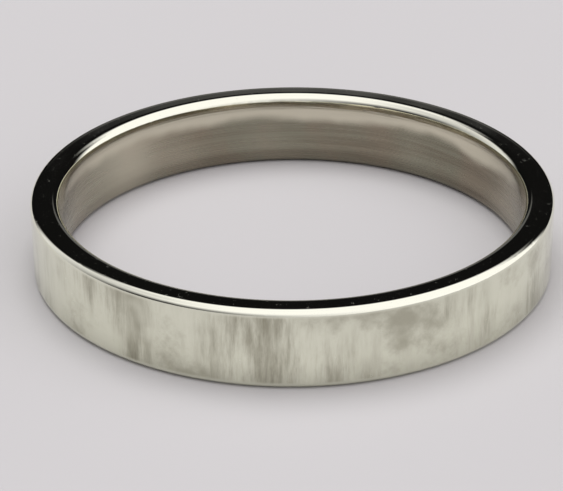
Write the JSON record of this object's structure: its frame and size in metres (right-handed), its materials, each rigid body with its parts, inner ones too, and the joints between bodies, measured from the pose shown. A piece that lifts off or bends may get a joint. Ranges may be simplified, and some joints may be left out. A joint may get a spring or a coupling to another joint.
{
  "type": "wedding band",
  "caption": "Plain flat-profile wedding band in polished white gold, with softened edges and a comfort-fit bore for a finger.",
  "frame": {"origin": "centre of the bore, half way between the band's two side faces", "axes": "+Z along the finger, normal to the side face that lies uppermost; +X and +Y in the band's middle plane, where the band is the same all the way round"},
  "size_m": [0.0196, 0.0196, 0.003],
  "materials": {
    "white_gold": "mirror-polished white gold, unplated, with a faint warm tint"
  },
  "bodies": {
    "root": {"band": "white_gold"}
  },
  "joints": []
}
